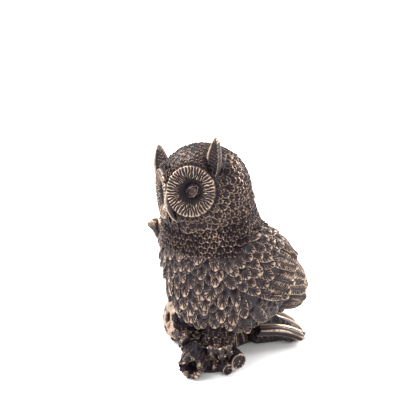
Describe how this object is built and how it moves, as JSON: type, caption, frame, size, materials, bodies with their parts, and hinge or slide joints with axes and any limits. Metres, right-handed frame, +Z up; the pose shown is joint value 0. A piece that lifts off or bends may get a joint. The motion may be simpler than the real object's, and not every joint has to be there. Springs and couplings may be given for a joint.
{
  "type": "owl figurine",
  "caption": "Cold-cast bronze owl with ear tufts and a cocked head, perched on a gnarled stump with broken stubs.",
  "frame": {"origin": "on the table, under the centre of the figure's footprint box", "axes": "+Z up along the figure's height; the owl faces -Y and its left side is +X"},
  "size_m": [0.0676, 0.0792, 0.1137],
  "materials": {
    "bronze_feathers": "antique bronze, dark patina in the recesses and rubbed tan highlights",
    "bronze_eyes": "dark bronze, polished",
    "bronze_feet": "antique bronze, rubbed on the scales and claws",
    "bronze_wood": "antique bronze, paler where the wood is stripped",
    "stone_filler": "rough poured resin",
    "dark_resin": "satin",
    "felt": "short nap felt"
  },
  "bodies": {
    "root": {"head_shell": "bronze_feathers", "beak": "bronze_feathers", "left_facial_disc": "bronze_feathers", "right_facial_disc": "bronze_feathers", "left_ear_tuft": "bronze_feathers", "right_ear_tuft": "bronze_feathers", "body_shell": "bronze_feathers", "left_wing": "bronze_feathers", "right_wing": "bronze_feathers", "left_thigh": "bronze_feathers", "right_thigh": "bronze_feathers", "tail_fan": "bronze_feathers", "left_eye": "bronze_eyes", "right_eye": "bronze_eyes", "left_foot": "bronze_feet", "right_foot": "bronze_feet", "stump_shell": "bronze_wood", "hollow_stub": "bronze_wood", "ringed_stub": "bronze_wood", "split_stub": "bronze_wood", "limb_knoll": "bronze_wood", "branch_lower": "bronze_wood", "branch_upper": "bronze_wood", "branch_fork": "bronze_wood", "head_filler": "stone_filler", "body_filler": "stone_filler", "base_plug": "dark_resin", "felt_pad": "felt"}
  },
  "joints": []
}
